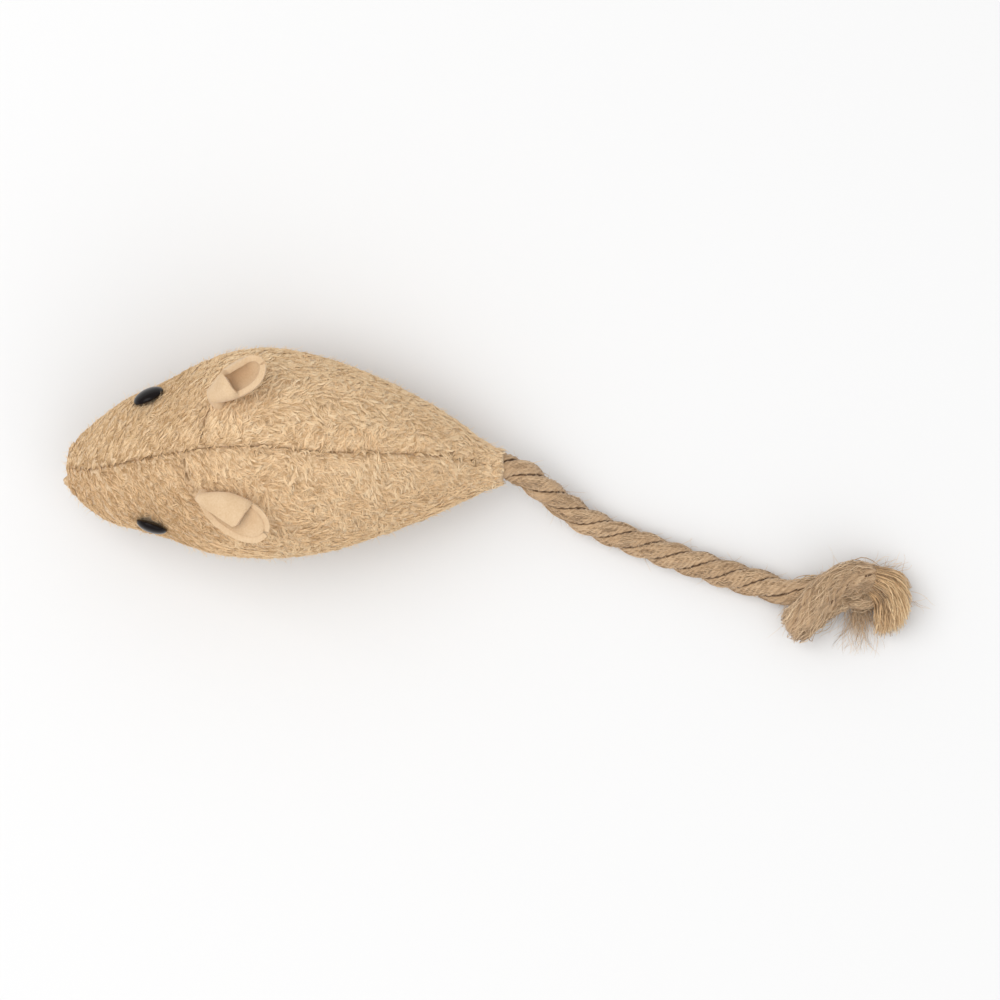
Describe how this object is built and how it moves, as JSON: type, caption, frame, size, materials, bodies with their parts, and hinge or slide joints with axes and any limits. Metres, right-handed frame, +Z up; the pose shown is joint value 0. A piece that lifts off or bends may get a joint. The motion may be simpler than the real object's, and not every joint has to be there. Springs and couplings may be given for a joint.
{
  "type": "catnip mouse",
  "caption": "Stuffed cloth mouse for cats, with folded felt ears, domed black eyes, a flat sewn belly and a knotted jute rope tail that ends frayed.",
  "frame": {"origin": "On the ground under the middle of the mouse without its tail, at the bottom centre of its box", "axes": "+Z up, nose towards -Y, tail towards +Y, the mouse's left side towards +X"},
  "size_m": [0.0443, 0.1229, 0.032],
  "materials": {
    "cloth": "tan brushed fabric with a short combed nap",
    "felt": "peach wool felt, matt",
    "thread": "tan sewing thread",
    "eye_plastic": "polished near-black plastic",
    "washer_plastic": "natural white moulded plastic",
    "jute": "raw three-strand jute rope with stray fibres",
    "filling": "white polyester fibre",
    "catnip": "dried chopped leaf"
  },
  "bodies": {
    "root": {"left_side_panel": "cloth", "right_side_panel": "cloth", "belly_panel": "cloth", "head_filling": "filling", "rump_filling": "filling", "catnip_ball": "catnip", "back_seam_thread": "thread", "left_belly_seam_thread": "thread", "right_belly_seam_thread": "thread", "left_ear_dart_thread": "thread", "right_ear_dart_thread": "thread", "tail_stitch": "thread", "left_ear_foot": "felt", "right_ear_foot": "felt", "left_eye": "eye_plastic", "right_eye": "eye_plastic", "left_eye_washer": "washer_plastic", "right_eye_washer": "washer_plastic", "tail_sewn_end": "jute"},
    "left_ear_flap": {"left_ear": "felt"},
    "right_ear_flap": {"right_ear": "felt"},
    "tail_base": {"tail_root": "jute"},
    "tail_free": {"tail_rope": "jute", "tail_knot": "jute", "tail_tuft": "jute"}
  },
  "joints": [
    {"name": "left_ear_fold", "type": "hinge", "parent": "root", "child": "left_ear_flap", "pos_m": [0.00708, -0.01256, 0.02536], "axis": [0.883, -0.0873, -0.4611], "range_deg": [-15, 40], "stiffness_Nm_per_rad": 0.0004},
    {"name": "right_ear_fold", "type": "hinge", "parent": "root", "child": "right_ear_flap", "pos_m": [-0.008, -0.01131, 0.02471], "axis": [0.7939, 0.1576, 0.5873], "range_deg": [-25, 40], "stiffness_Nm_per_rad": 0.0004},
    {"name": "tail_swing", "type": "hinge", "parent": "root", "child": "tail_base", "pos_m": [0.0026, 0.0333, 0.0069], "axis": [0, 0, 1], "range_deg": [-40, 80], "stiffness_Nm_per_rad": 0.0006},
    {"name": "tail_lift", "type": "hinge", "parent": "tail_base", "child": "tail_free", "pos_m": [0.008, 0.0404, 0.0036], "axis": [0.9343, -0.3565, 0], "range_deg": [0, 75], "stiffness_Nm_per_rad": 0.0006}
  ]
}
